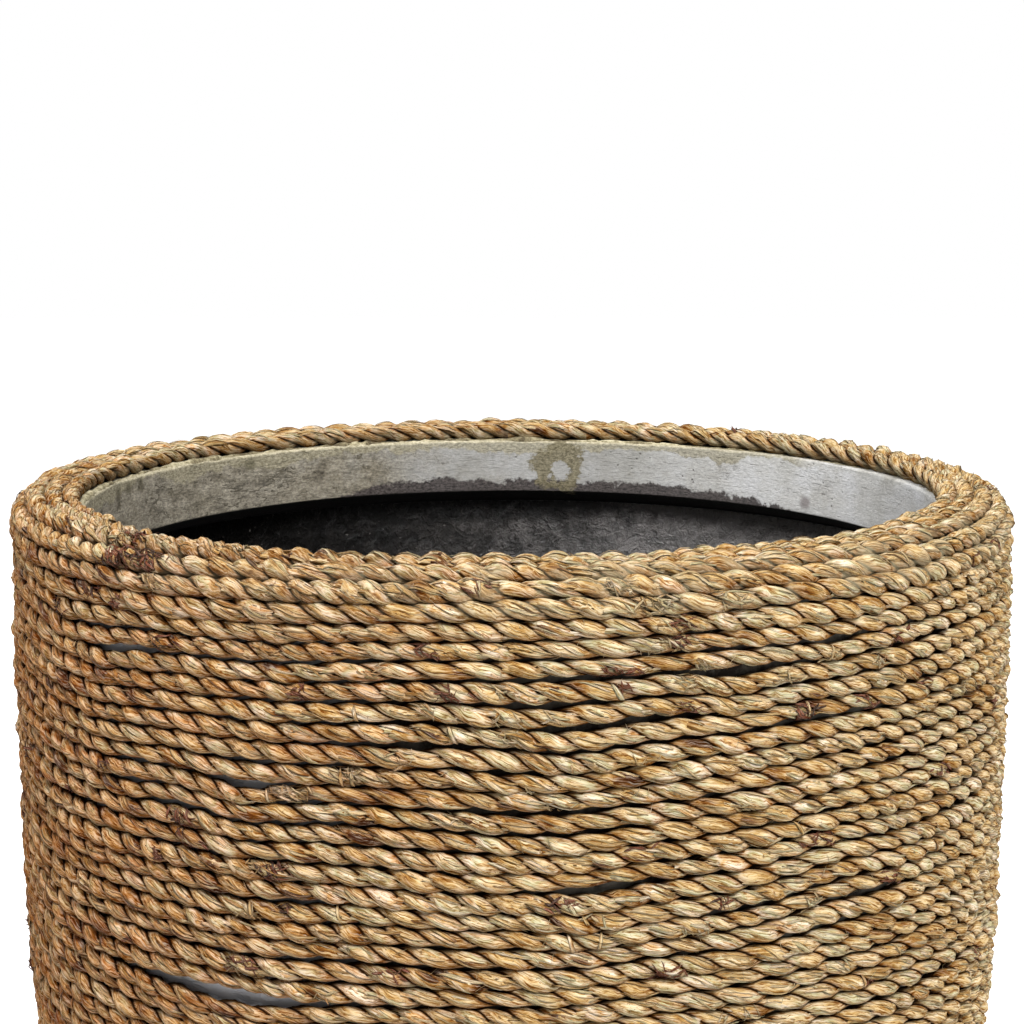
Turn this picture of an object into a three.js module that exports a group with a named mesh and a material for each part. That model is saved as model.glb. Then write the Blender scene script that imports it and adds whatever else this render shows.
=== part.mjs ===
// Straw planter: a thick-lipped fibre-cement pot, sealed inside with a black coating and
// wound from the mouth to the foot with twisted straw rope.
//
// Millimetres, +Z up, origin at the centre of the base. Azimuth 0 is the front (-Y) and
// grows towards +X. The rope starts beside the mouth, runs outwards over the lip as a flat
// spiral, turns over the round edge and goes down the wall as a helix.

import * as THREE from "three";

// Driving dimensions of the pot
const POT_RADIUS = 227.5; // outside of the cement where the wall is straight
const POT_HEIGHT = 392.5; // base to the top of the lip
const WALL = 10; // cement wall, square to its surface
const FLOOR = 16; // cement under the inside
const LIP_THICKNESS = 26; // the cast lip, from the outside to the mouth
const LIP_HEIGHT = 31; // straight inner face of the lip
const LIP_UNDERSIDE = 7; // height over which the lip runs back into the wall
const EDGE_CHAMFER = 1.5; // broken edge round the mouth
const CORNER_RADIUS = 8; // round edge that the rope turns over
const STRAIGHT_WALL = 185; // from the top down to where the wall begins to curve in
const CURVE_RADIUS = 540; // of the lower wall, seen from the side
const FLOOR_FILLET = 18; // inside, where the wall meets the floor
const BASE_CHAMFER = 2; // broken edge round the base

// Driving dimensions of the coating and the rope
const COATING = 1.5; // brushed on, and dry
const ROPE_DIAMETER = 7.2;
const ROPE_GAP = 0.45; // between neighbouring turns
const BARE_EDGE = 2.6; // cement left bare between the mouth and the first turn
const BARE_FOOT = 3; // cement left bare under the last turn, at least
const SEAT = 0.3; // clearance between pieces that touch
const END_GAP = 0.6; // between the square-cut ends of two lengths of rope

// The winding, counted in turns
const STEPS = 24; // straight stretches in a turn
const SIDES = 6; // of the rope's section
const START_AZIMUTH = (-7 / 24) * Math.PI; // of the rope's inner end on the lip
const JOG_SHARE = 1 / 6; // of a turn, in which it steps out or down by one rope
const RIM_TURNS = 3 + 10 / STEPS; // first length of rope
const WALL_TURNS = 19 + 19 / STEPS; // second length, down the straight wall

// Roundness of the revolved pieces
const REVOLVE_STEPS = 2 * STEPS;
const CURVE_STEPS = 3; // half of the steps along an arc of the outline

const mouthRadius = POT_RADIUS - LIP_THICKNESS;
const curveTop = POT_HEIGHT - STRAIGHT_WALL;
const curveCentre = POT_RADIUS - CURVE_RADIUS; // the radius at which the wall's arc is centred
const ropeRadius = ROPE_DIAMETER / 2;
const pitch = ROPE_DIAMETER + ROPE_GAP;
const seated = SEAT + ropeRadius; // from the cement to the middle of the rope

// Angle, below the start of the wall's arc, at which the surface that lies inset behind the
// outside comes down to a height.
function arcAngle(inset, height) {
  return Math.asin((curveTop - height) / (CURVE_RADIUS - inset));
}

// Turns a closed outline of (radius, height) points about the Z axis.
function revolve(outline) {
  return new THREE.LatheGeometry(outline, REVOLVE_STEPS).rotateX(Math.PI / 2);
}

// The profile of the inside from the middle of the floor up the wall to a height, for a
// surface that lies inset behind the outside of the wall.
function insideProfile(inset, floor, top) {
  const filletTop = floor + FLOOR_FILLET;
  const angle = arcAngle(inset, filletTop);
  const radius = CURVE_RADIUS - inset;
  const filletRadius = curveCentre + radius * Math.cos(angle);
  const corner = filletRadius - FLOOR_FILLET * Math.tan(angle);
  const profile = new THREE.Path();
  profile.moveTo(0, floor);
  profile.lineTo(corner - FLOOR_FILLET, floor);
  profile.quadraticCurveTo(corner, floor, filletRadius, filletTop);
  profile.absarc(curveCentre, curveTop, radius, -angle, 0, false);
  profile.lineTo(POT_RADIUS - inset, top);
  return profile.getPoints(CURVE_STEPS);
}

// The cast pot: a flat base, a wall that curves in towards it, and a lip that overhangs the
// inside all round.
function potGeometry() {
  const angle = arcAngle(0, BASE_CHAMFER);
  const baseRadius = curveCentre + CURVE_RADIUS * Math.cos(angle);
  const lipBottom = POT_HEIGHT - LIP_HEIGHT;
  const outside = new THREE.Path();
  outside.moveTo(0, 0);
  outside.lineTo(baseRadius - BASE_CHAMFER, 0);
  outside.absarc(curveCentre, curveTop, CURVE_RADIUS, -angle, 0, false);
  outside.absarc(
    POT_RADIUS - CORNER_RADIUS,
    POT_HEIGHT - CORNER_RADIUS,
    CORNER_RADIUS,
    0,
    Math.PI / 2,
    false,
  );
  outside.lineTo(mouthRadius + EDGE_CHAMFER, POT_HEIGHT);
  outside.lineTo(mouthRadius, POT_HEIGHT - EDGE_CHAMFER);
  outside.lineTo(mouthRadius, lipBottom);
  const inside = insideProfile(WALL, FLOOR, lipBottom - LIP_UNDERSIDE);
  return revolve([...outside.getPoints(CURVE_STEPS), ...inside.reverse()]);
}

// The coating: one skin over the floor and the wall, up to the underside of the lip.
function coatingGeometry() {
  const top = POT_HEIGHT - LIP_HEIGHT - LIP_UNDERSIDE - SEAT;
  const back = insideProfile(WALL + SEAT, FLOOR + SEAT, top);
  const face = insideProfile(WALL + SEAT + COATING, FLOOR + SEAT + COATING, top);
  return revolve([...back, ...face.reverse()]);
}

// The line that the middle of the rope follows, seen in section: its straight and round
// stretches one after the other, each with its length.
const startRadius = mouthRadius + BARE_EDGE + ropeRadius;
const lipLength = POT_RADIUS - CORNER_RADIUS - startRadius;
const cornerLength = (CORNER_RADIUS + seated) * Math.PI / 2;
const straightLength = STRAIGHT_WALL - CORNER_RADIUS;
const arcLength = (CURVE_RADIUS + seated) * arcAngle(0, BARE_FOOT + ropeRadius);

// The point of the cement under the rope, at a distance along that line from its start, and
// the direction that points out of the cement there.
function cementAt(distance) {
  const pastLip = distance - lipLength;
  const pastCorner = pastLip - cornerLength;
  const pastStraight = pastCorner - straightLength;
  if (pastLip < 0) return { r: startRadius + distance, z: POT_HEIGHT, angle: Math.PI / 2 };
  if (pastCorner < 0) {
    const angle = Math.PI / 2 - pastLip / (CORNER_RADIUS + seated);
    return {
      r: POT_RADIUS - CORNER_RADIUS + CORNER_RADIUS * Math.cos(angle),
      z: POT_HEIGHT - CORNER_RADIUS + CORNER_RADIUS * Math.sin(angle),
      angle,
    };
  }
  if (pastStraight < 0) return { r: POT_RADIUS, z: curveTop - pastStraight, angle: 0 };
  const angle = -pastStraight / (CURVE_RADIUS + seated);
  return {
    r: curveCentre + CURVE_RADIUS * Math.cos(angle),
    z: curveTop + CURVE_RADIUS * Math.sin(angle),
    angle,
  };
}

// How far along the line the winding has come after some turns. Each turn keeps its place
// for most of the way round and then steps aside to pass its own start.
function distanceAfter(turn) {
  const whole = Math.floor(turn);
  const jog = Math.max(0, 1 - (whole + 1 - turn) / JOG_SHARE);
  return pitch * (whole + jog * jog * (3 - 2 * jog));
}

// A point of the winding: out is its height off the cement, and along is its shift down the
// line from the middle of the rope. The straight stretches lie outside the round wall.
function windingPoint(turn, out, along) {
  const { r, z, angle } = cementAt(distanceAfter(turn));
  const radius = (r + out * Math.cos(angle) + along * Math.sin(angle)) / Math.cos(Math.PI / STEPS);
  const azimuth = START_AZIMUTH - 2 * Math.PI * turn;
  return new THREE.Vector3(
    radius * Math.sin(azimuth),
    -radius * Math.cos(azimuth),
    z + out * Math.sin(angle) - along * Math.cos(angle),
  );
}

// Parts of a turn: half of the gap between two ends, and a straight end of one diameter.
const endTurn = END_GAP / 2 / (2 * Math.PI * POT_RADIUS);
const straightEnd = ROPE_DIAMETER / (2 * Math.PI * mouthRadius);

// The turns at which a length of rope has its sections: the ends, one diameter in from each
// end, and the steps between.
function sectionTurns(from, to) {
  const first = from + endTurn;
  const last = to - endTurn;
  const turns = [first, first + straightEnd];
  const nearEnd = 2 * straightEnd;
  for (let step = Math.ceil((first + nearEnd) * STEPS); step / STEPS < last - nearEnd; step += 1) {
    turns.push(step / STEPS);
  }
  return [...turns, last - straightEnd, last];
}

// The rope's section, with flat sides towards its neighbours.
function ropeSection(turn) {
  return Array.from({ length: SIDES }, (_, side) => {
    const angle = (2 * Math.PI * side) / SIDES;
    const out = seated + ropeRadius * Math.cos(angle);
    return windingPoint(turn, out, ropeRadius * Math.sin(angle));
  });
}

// A closed surface from points and from flat faces, each given by the places of its corners.
function solidGeometry(points, faces) {
  const index = faces.flatMap((face) =>
    face.slice(2).flatMap((corner, k) => [face[0], face[k + 1], corner]),
  );
  const geometry = new THREE.BufferGeometry().setFromPoints(points);
  geometry.setIndex(index);
  return geometry;
}

// A length of rope, wound as one unbroken tube.
function tubeGeometry(from, to) {
  const sections = sectionTurns(from, to).map(ropeSection);
  const at = (section, side) => section * SIDES + (side % SIDES);
  const faces = [];
  for (let i = 0; i + 1 < sections.length; i += 1) {
    for (let k = 0; k < SIDES; k += 1) {
      faces.push([at(i, k), at(i + 1, k), at(i + 1, k + 1), at(i, k + 1)]);
    }
  }
  const sides = sections[0].map((_, k) => k);
  faces.push(sides.map((k) => at(0, k)));
  faces.push(sides.map((k) => at(sections.length - 1, k)).reverse());
  return solidGeometry(sections.flat(), faces);
}

// The rope of the lower wall, whose turns lie pressed together: one ridge for each turn, and
// a smooth back. A column of points holds the back, then a valley and a crest for each turn.
// The column one turn on is the same column, moved down by one turn.
function pressedRopeGeometry(from, turns) {
  const start = from + endTurn;
  const points = [];
  const place = new Map();
  const point = (step, row, out) => {
    const key = `${(step % STEPS)},${row + Math.floor(step / STEPS) * 2},${out}`;
    if (!place.has(key)) {
      place.set(key, points.length);
      points.push(pressedPoint(start + step / STEPS, row, out));
    }
    return place.get(key);
  };
  const surface = (step, row) => point(step, row, row % 2 ? seated + ropeRadius : seated);
  const back = (step, row) => point(step, row, SEAT);
  const rows = 2 * turns;
  const faces = [];
  for (let step = 0; step < STEPS; step += 1) {
    const next = step + 1;
    for (let row = 0; row < rows; row += 1) {
      faces.push([
        surface(step, row),
        surface(next, row),
        surface(next, row + 1),
        surface(step, row + 1),
      ]);
    }
    for (let row = 0; row < rows; row += 2) {
      faces.push([back(step, row), back(step, row + 2), back(next, row + 2), back(next, row)]);
    }
    faces.push([surface(step, 0), back(step, 0), back(next, 0), surface(next, 0)]);
    faces.push([surface(step, rows), surface(next, rows), back(next, rows), back(step, rows)]);
  }
  const endFace = (row) => [
    back(0, row),
    surface(0, row),
    surface(0, row + 1),
    surface(0, row + 2),
    back(0, row + 2),
  ];
  faces.push(endFace(0));
  faces.push(endFace(rows).reverse());
  return solidGeometry(points, faces);
}

// A point on the pressed rope: rows count the valleys and crests down from the first valley.
function pressedPoint(turn, row, out) {
  const upper = Math.floor(row / 2);
  const along = row % 2 ? 0 : -pitch / 2;
  return windingPoint(turn + upper, out, along);
}

// Least distance from the corners of one section to the sides of another.
function cornerGap(corners, section) {
  const nearest = new THREE.Vector3();
  const gaps = corners.flatMap((corner) =>
    section.map((end, k) => {
      const side = new THREE.Line3(end, section[(k + 1) % SIDES]);
      return side.closestPointToPoint(corner, true, nearest).distanceTo(corner);
    }),
  );
  return Math.min(...gaps);
}

// Least gap between neighbouring turns of a length of rope.
function turnGap(from, to) {
  const turns = sectionTurns(from, to).filter((turn) => turn + 1 < to);
  const gaps = turns.map((turn) => {
    const here = ropeSection(turn);
    const below = ropeSection(turn + 1);
    return Math.min(cornerGap(here, below), cornerGap(below, here));
  });
  return Math.min(...gaps);
}

const wallEnd = RIM_TURNS + WALL_TURNS;
const lineLength = lipLength + cornerLength + straightLength + arcLength;
const lowerTurns = Math.floor(lineLength / pitch - wallEnd);

const planter = new THREE.Group();

function addPiece(name, geometry, color, roughness) {
  const material = new THREE.MeshStandardMaterial({ color, roughness, metalness: 0 });
  const mesh = new THREE.Mesh(geometry, material);
  mesh.name = name;
  planter.add(mesh);
}

addPiece("cement_pot", potGeometry(), 0xa3a29c, 0.9);
addPiece("waterproof_coating", coatingGeometry(), 0x2b2b2d, 0.6);
addPiece("rim_rope", tubeGeometry(0, RIM_TURNS), 0xb59a68, 0.8);
addPiece("upper_wall_rope", tubeGeometry(RIM_TURNS, wallEnd), 0xb09463, 0.8);
addPiece("lower_wall_rope", pressedRopeGeometry(wallEnd, lowerTurns), 0xa98c5c, 0.8);

console.log(`rim_rope: least gap between turns ${turnGap(0, RIM_TURNS).toFixed(2)} mm`);
console.log(`upper_wall_rope: least gap ${turnGap(RIM_TURNS, wallEnd).toFixed(2)} mm`);

export default planter;
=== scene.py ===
# %% [markdown]
# # A straw planter
#
# The real planter is a cast fibre-cement pot with a thick lip. It is sealed black inside and
# wound from the mouth to the foot with two-ply rope of dry grass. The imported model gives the
# sizes, and this script makes the surfaces that the eye sees.

# %% Load the frame
import functools
import math

import bpy
import numpy as np
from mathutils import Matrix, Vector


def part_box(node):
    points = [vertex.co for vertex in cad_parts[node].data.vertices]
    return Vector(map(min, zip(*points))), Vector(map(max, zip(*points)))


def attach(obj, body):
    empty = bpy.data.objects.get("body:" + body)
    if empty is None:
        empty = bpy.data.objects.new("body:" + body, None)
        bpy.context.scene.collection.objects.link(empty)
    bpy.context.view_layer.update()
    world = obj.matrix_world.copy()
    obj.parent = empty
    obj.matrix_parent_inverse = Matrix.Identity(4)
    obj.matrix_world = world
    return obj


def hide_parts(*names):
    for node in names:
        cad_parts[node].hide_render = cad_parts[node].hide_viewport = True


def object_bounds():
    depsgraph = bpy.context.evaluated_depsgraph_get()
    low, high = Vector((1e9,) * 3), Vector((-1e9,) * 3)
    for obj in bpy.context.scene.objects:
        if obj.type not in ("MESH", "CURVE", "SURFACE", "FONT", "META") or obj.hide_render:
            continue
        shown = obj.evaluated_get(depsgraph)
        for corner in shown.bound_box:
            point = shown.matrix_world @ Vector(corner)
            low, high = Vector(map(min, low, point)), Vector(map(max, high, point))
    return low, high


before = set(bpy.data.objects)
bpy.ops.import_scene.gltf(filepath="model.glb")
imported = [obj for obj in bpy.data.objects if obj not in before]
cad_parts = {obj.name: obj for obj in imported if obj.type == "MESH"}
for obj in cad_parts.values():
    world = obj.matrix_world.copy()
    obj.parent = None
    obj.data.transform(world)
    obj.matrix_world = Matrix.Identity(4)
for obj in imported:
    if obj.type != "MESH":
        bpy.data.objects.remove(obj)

cad_low, cad_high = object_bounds()
print("frame", [round(size, 4) for size in cad_high - cad_low])

# %% [markdown]
# ## Sizes
#
# What the frame states is read from it. The rest repeats the real sizes of the pot and of the
# rope, in metres. `MM` turns a size in millimetres into metres.

# %% Sizes of the pot and of the winding
MM = 0.001

POT_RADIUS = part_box("cement_pot")[1].x
POT_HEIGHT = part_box("cement_pot")[1].z
MOUTH_RADIUS = POT_RADIUS - 26 * MM
LIP_HEIGHT = 31 * MM
LIP_UNDERSIDE = 7 * MM
WALL = 10 * MM
FLOOR = 16 * MM
COATING = 1.8 * MM
FLOOR_FILLET = 18 * MM
BASE_CHAMFER = 2 * MM
STRAIGHT_WALL = 185 * MM
CURVE_RADIUS = 540 * MM

PITCH = 7.65 * MM
ROPE_SEAT = 3.9 * MM
ROPE_CORNER = 6 * MM
BARE_EDGE = 3 * MM
START_AZIMUTH = -7 / 24 * math.pi
JOG_SHARE = 1 / 6
RIM_TURNS = 3 + 10 / 24
UPPER_TURNS = RIM_TURNS + 19 + 19 / 24
ALL_TURNS = UPPER_TURNS + 31

curve_top = POT_HEIGHT - STRAIGHT_WALL
curve_centre = POT_RADIUS - CURVE_RADIUS
print("pot", round(POT_RADIUS, 4), "m radius;", round(ALL_TURNS, 2), "turns of rope")

# %% [markdown]
# ## The camera
#
# The camera stands where the photograph was taken: a little above the rim, close by, and
# pitched down. Its place was fitted to the ellipses of the rim.

# %% Camera
CAMERA_DISTANCE = 0.862
CAMERA_RISE = 0.1283
CAMERA_PITCH = math.radians(9.55)
PICTURE = 1024
FOCAL_SHARE = 1798 / PICTURE


def new_object(name, data):
    """An object with this mesh, lamp or camera, in the scene."""
    made = bpy.data.objects.new(name, data)
    bpy.context.scene.collection.objects.link(made)
    return made


camera_data = bpy.data.cameras.new("camera")
camera_data.sensor_width = 36
camera_data.lens = camera_data.sensor_width * FOCAL_SHARE
camera = new_object("camera", camera_data)
camera.location = (0, -CAMERA_DISTANCE, cad_high.z + CAMERA_RISE)
camera.rotation_euler = (math.pi / 2 - CAMERA_PITCH, 0, 0)
bpy.context.scene.camera = camera
print("lens", round(camera_data.lens, 1), "mm")

# %% [markdown]
# ## Helpers for meshes
#
# Every new piece is a surface on a grid: whole arrays of points, and faces that join
# neighbours. `make_piece` puts such arrays into a mesh and turns the faces outwards.

# %% Mesh helpers
KNOTS = 4096  # random values, used again from the first after the last


def drift(place, spacing, seed):
    """Smooth noise from -1 to 1: a random value every spacing, joined by s-shaped steps."""
    knots = np.random.default_rng(seed).uniform(-1, 1, KNOTS)
    low = np.floor(place / spacing).astype(int)
    part = place / spacing - low
    ease = part * part * (3 - 2 * part)
    return knots[low % KNOTS] * (1 - ease) + knots[(low + 1) % KNOTS] * ease


def smooth_step(value, start, end):
    """0 below start, 1 above end, and an s-shaped step between them."""
    part = np.clip((value - start) / (end - start), 0, 1)
    return part * part * (3 - 2 * part)


def signed_volume(points, faces):
    """Sixth parts of the volume under each triangle of the faces, added up."""
    total = 0.0
    for corners in faces:
        first = points[corners[:, 0]]
        for k in range(1, corners.shape[1] - 1):
            normal = np.cross(points[corners[:, k]], points[corners[:, k + 1]])
            total += np.einsum("ij,ij->", first, normal) / 6
    return total


def make_piece(name, points, faces, uvs, material, slot, *nodes):
    """A mesh from points (n, 3), arrays of faces (m, corners) and their uvs (m, corners, 2)."""
    if signed_volume(points, faces) < 0:
        faces = [corners[:, ::-1] for corners in faces]
        uvs = [uv[:, ::-1] for uv in uvs]
    sizes = np.concatenate([np.full(len(corners), corners.shape[1]) for corners in faces])
    loops = np.concatenate([corners.ravel() for corners in faces])
    mesh = bpy.data.meshes.new(name)
    mesh.vertices.add(len(points))
    mesh.vertices.foreach_set("co", points.astype(np.float32).ravel())
    mesh.loops.add(len(loops))
    mesh.loops.foreach_set("vertex_index", loops.astype(np.int32))
    mesh.polygons.add(len(sizes))
    mesh.polygons.foreach_set("loop_start", np.cumsum(sizes) - sizes)
    mesh.polygons.foreach_set("use_smooth", np.ones(len(sizes), bool))
    flat_uv = np.concatenate([uv.reshape(-1, 2) for uv in uvs]).astype(np.float32)
    mesh.uv_layers.new(name="UVMap").data.foreach_set("uv", flat_uv.ravel())
    mesh.update(calc_edges=True)
    mesh.materials.append(material)
    piece = new_object(name, mesh)
    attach(piece, "root")
    if nodes:
        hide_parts(*nodes)
    print(f"{name}: {int((sizes - 2).sum())} triangles")


def quad_uvs(u_near, u_far, v_near, v_far):
    """uvs (m, 4, 2) of quads whose corners go on along u, then along v, then back along u."""
    corners = [(u_near, v_near), (u_far, v_near), (u_far, v_far), (u_near, v_far)]
    pairs = [np.stack(np.broadcast_arrays(u, v), -1) for u, v in corners]
    return np.stack(pairs, -2).reshape(-1, 4, 2)


def tube_faces(rings, sides, along, around):
    """Faces and uvs of closed tubes that lie one after the other in an array of points.

    rings is the number of rings of each tube. along holds u for each ring (tubes, rings), and
    around holds v for each side and for the first side again (sides + 1)."""
    start = np.arange(len(along))[:, None, None] * rings * sides
    near = start + np.arange(rings - 1)[:, None] * sides
    far = near + sides
    side = np.arange(sides)
    after = (side + 1) % sides
    quads = np.stack([near + side, far + side, far + after, near + after], -1)
    quad_uv = quad_uvs(along[:, :-1, None], along[:, 1:, None], around[:-1], around[1:])
    start = start[:, 0]
    caps = np.concatenate([start + side[::-1], start + (rings - 1) * sides + side])
    cap_u = np.concatenate([along[:, :1], along[:, -1:]])
    cap_v = np.repeat([around[:-1][::-1], around[:-1]], len(along), axis=0)
    cap_uv = np.stack(np.broadcast_arrays(cap_u, cap_v), -1)
    return [quads.reshape(-1, 4), caps], [quad_uv, cap_uv]


# %% [markdown]
# ## Helpers for materials
#
# Colours are written as sRGB hex values. One function adds any shader node: values go to
# the node's sockets in their order, a name with a capital is a socket too, and the rest are
# its settings. All four surfaces end alike, as layers of colour, relief and one shader.

# %% Material helpers
SOFT = {"interpolation_type": "SMOOTHSTEP"}  # for a mask without a hard start and end


def linear(colour):
    """The linear colour of an sRGB hex value such as "#b59a68"."""
    srgb = np.array([int(colour[i : i + 2], 16) for i in (1, 3, 5)]) / 255
    rgb = np.where(srgb <= 0.04045, srgb / 12.92, ((srgb + 0.055) / 1.055) ** 2.4)
    return (*rgb.tolist(), 1.0)


def add_node(tree, kind, *values, out=0, stops=(), sockets=(), **names):
    """Adds a node of a kind and returns its output out. A kind in capitals is an operation of
    a Math node. A text value is a colour. sockets are given by number, stops are the places
    and colours of a colour ramp, and _ in a socket's name stands for a space."""
    node = tree.nodes.new("ShaderNode" + ("Math" if kind.isupper() else kind))
    if kind.isupper():
        node.operation = kind
    inputs = {**dict(enumerate(values)), **dict(sockets)}
    for name, value in names.items():
        if name[0].isupper():
            inputs[name.replace("_", " ")] = value
        else:
            setattr(node, name, value)
    for socket, value in inputs.items():
        if isinstance(value, bpy.types.NodeSocket):
            tree.links.new(value, node.inputs[socket])
        else:
            node.inputs[socket].default_value = linear(value) if isinstance(value, str) else value
    for number, (place, colour) in enumerate(stops):
        ramp = node.color_ramp.elements
        element = ramp[number] if number < 2 else ramp.new(place)
        element.position = place
        element.color = linear(colour)
    return node.outputs[out] if node.outputs else node


def new_tree(things, name):
    """A new material or world without nodes, and the function that adds nodes to it."""
    made = things.new(name)
    made.use_nodes = True
    made.node_tree.nodes.clear()
    return made, functools.partial(add_node, made.node_tree)


def from_axis(add, place):
    """How far a place is from the pot's axis."""
    flat = add("VectorMath", place, (1, 1, 0), operation="MULTIPLY")
    return add("VectorMath", flat, out=1, operation="LENGTH")


def surface(add, base, layers, reliefs, rough, ior, shine, strength=1.0):
    """Lays layers over a base colour, adds up the relief, and links the shader to the output.

    A layer is a mask, a colour and, if it isn't plain paint, its blend. A relief is a pattern
    and its height in millimetres, which strength scales."""
    for mask, colour, *blend in layers:
        base = add("Mix", mask, sockets={6: base, 7: colour}, out=2, data_type="RGBA",
                   blend_type=blend[0] if blend else "MIX")
    relief = 0.0
    for pattern, height in reliefs:
        relief = add("MULTIPLY_ADD", pattern, height, relief)
    bump = add("Bump", Strength=strength, Distance=MM, Height=relief)
    add("OutputMaterial", add("BsdfPrincipled", base, Roughness=rough, IOR=ior,
                              Specular_IOR_Level=shine, Normal=bump))


# %% [markdown]
# ## Dry sedge
#
# The rope is twisted from dried sedge, often sold as seagrass. A dry leaf is matt with a
# faint waxy sheen, straw-coloured with green, gold and red-brown ones among them, and ribbed
# along its length every few tenths of a millimetre. Rope and loose leaves share this finish.
# They hand it a random choice for the leaf, a place that runs along its fibres, and masks
# of painted shade for its borders and for its folds.

# %% Dry sedge finish
SEDGE_COLOURS = [
    (0.00, "#45260f"), (0.08, "#724b1d"), (0.18, "#9a753e"), (0.30, "#b0935d"), (0.42, "#bda575"),
    (0.54, "#ccb996"), (0.66, "#a8a47e"), (0.78, "#d5c7b2"), (0.87, "#bf9a60"), (1.00, "#decfba"),
]
HAZE_START = POT_RADIUS + 0.7 * POT_HEIGHT - 2 * MM  # radius and 0.7 of the height, added


def dry_sedge(add, choice, fibres, border, edge, deep_shade, relief, shift=0.28, tint="#ffffff"):
    """Colours and shades a sedge surface and links it to the material's output.

    choice picks the colour. border, edge and dirt are masks of painted shade: dark lines
    between leaves, brown towards creases and folds, and nearly black deep in them. fibres has
    one unit for 0.5 mm across the fibres and for about 6 mm along them.
    relief is a pattern and its height. shift moves all the colours to the dark or to the pale
    end, and tint multiplies them."""
    place = add("TexCoord", out=3)
    side = add("SeparateXYZ", place)
    up = add("SeparateXYZ", place, out=2)

    # Ribs 0.5 mm apart and shadows between them, and broader stripes 1.5 mm apart.
    rib = add("TexNoise", fibres, Scale=1.3, Detail=4, Roughness=0.68)
    stripe = add("TexNoise", fibres, Scale=0.33, Detail=1)
    slit = add("TexNoise", add("Mapping", fibres, Scale=(0.5, 2.4, 1)), Scale=1, Detail=2)
    slit = add("MapRange", slit, 0.62, 0.67, 0, 0.8)

    # Leaves that lie together are of one kind: a slow pattern, 12 mm long, moves the choice.
    kind = add("TexNoise", place, Scale=85, Detail=0)
    kind = add("MapRange", kind, 0.25, 0.75, -0.22, 0.25)
    choice = add("MULTIPLY_ADD", add("SUBTRACT", choice, 0.5), 0.75, kind)
    # The sun has bleached the right side more evenly.
    choice = add("MULTIPLY", choice, add("MapRange", side, 0.02, 0.2, 1, 0.65))
    choice = add("ADD", add("MULTIPLY_ADD", stripe, 0.4, choice), shift, use_clamp=True)
    base = add("ValToRGB", choice, stops=SEDGE_COLOURS)

    # Stretches of a row come from other bundles than the rows beside it. On the wall's left the
    # straw is browner and darker: partly a browner batch, partly painted shade on that side. The
    # tint fades on top of the lip, which paints light on its top.
    bundle = add("TexNoise", add("Mapping", place, Scale=(9, 9, 110)), Scale=1, Detail=2)
    bundle_tint_and_side_shade = add("MapRange", side, 0.14, -0.24, -0.5, 0.95)
    painted_light_on_top = add("MapRange", up, POT_HEIGHT - 8 * MM, POT_HEIGHT + 4 * MM, 1, 0.3)
    bundle_tint_and_side_shade = add("MULTIPLY", bundle_tint_and_side_shade, painted_light_on_top)
    bundle_tint_and_side_shade = add("MULTIPLY_ADD", add("SUBTRACT", bundle, 0.5), 1.5, bundle_tint_and_side_shade, use_clamp=True)
    bundle_tint_and_side_shade = add("MULTIPLY", bundle_tint_and_side_shade, 0.9)

    # Painted light and shade on the ribs: a painted highlight on their tops, and painted shade
    # between them, brown, not grey.
    painted_highlight = add("MapRange", rib, 0.48, 0.66, 0, 0.35)
    shade = add("ValToRGB", rib, stops=[(0.38, "#956a3a"), (0.46, "#e6d6bd"), (0.55, "#ffffff")])
    # Specks of mildew and husk, under 1 mm.
    speck = add("TexNoise", place, Scale=900, Detail=3, Roughness=0.7)
    speck = add("MapRange", speck, 0.62, 0.70, 0, 0.75)

    # Glue and cement dust dried grey on the outer edge of the lip, most of it on the right.
    ring = from_axis(add, place)
    haze = add("MULTIPLY_ADD", up, 0.7, ring)
    haze = add("MapRange", haze, HAZE_START, HAZE_START + 5 * MM, 0, 0.8)
    haze = add("MULTIPLY", haze, add("MapRange", side, -0.22, 0.1, 0, 0.75))
    foot = add("MapRange", ring, MOUTH_RADIUS + 6 * MM, MOUTH_RADIUS + 3 * MM, 0, 0.8)
    low = add("MapRange", up, POT_HEIGHT + 6 * MM, POT_HEIGHT + 2 * MM)
    haze = add("MAXIMUM", haze, add("MULTIPLY", foot, low))
    patch = add("TexNoise", place, Scale=70, Detail=4, Roughness=0.65)
    haze = add("MULTIPLY", haze, add("MapRange", patch, 0.42, 0.58))
    # It lies in the folds and leaves most of the leaves' backs clean.
    in_folds = add("MAXIMUM", deep_shade, edge)
    haze = add("MULTIPLY", haze, add("MapRange", in_folds, 0, 0.8, 0.35, 1.1))

    # Dry leaves are full of air and dusty: they reflect less than a smooth solid would, and
    # nothing shines in the folds.
    rough = add("MapRange", rib, 0.36, 0.64, 0.75, 0.55)
    fold = add("MAXIMUM", in_folds, add("MAXIMUM", border, slit))
    shine = add("MapRange", fold, 0, 0.3, 0.07, 0)
    layers = [
        (bundle_tint_and_side_shade, "#c68c38", "MULTIPLY"),
        (edge, "#a67439", "MULTIPLY"),
        (1.0, tint, "MULTIPLY"),
        (painted_highlight, "#d6c9b6"),
        (1.0, shade, "MULTIPLY"),
        (border, "#4e2c0e", "MULTIPLY"),
        (slit, "#3f2510"),
        (speck, "#4a2a14"),
        (deep_shade, "#160a02"),
        (haze, "#8f866c"),
    ]
    surface(add, base, layers, [relief, (rib, 0.5), (slit, -0.12), (border, -0.08)], rough, 1.45, shine)


# %% [markdown]
# ## Seagrass rope
#
# The rope is two plies twisted together. Each ply shows as a row of lobes, and each lobe is
# three or four leaves wide with thin dark lines between them. The surface's own coordinates
# find these: u counts the twists along the rope (27 mm each) and v goes once round it. From
# those two the shader works out the ply, the number of the lobe and the place on it.

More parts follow.
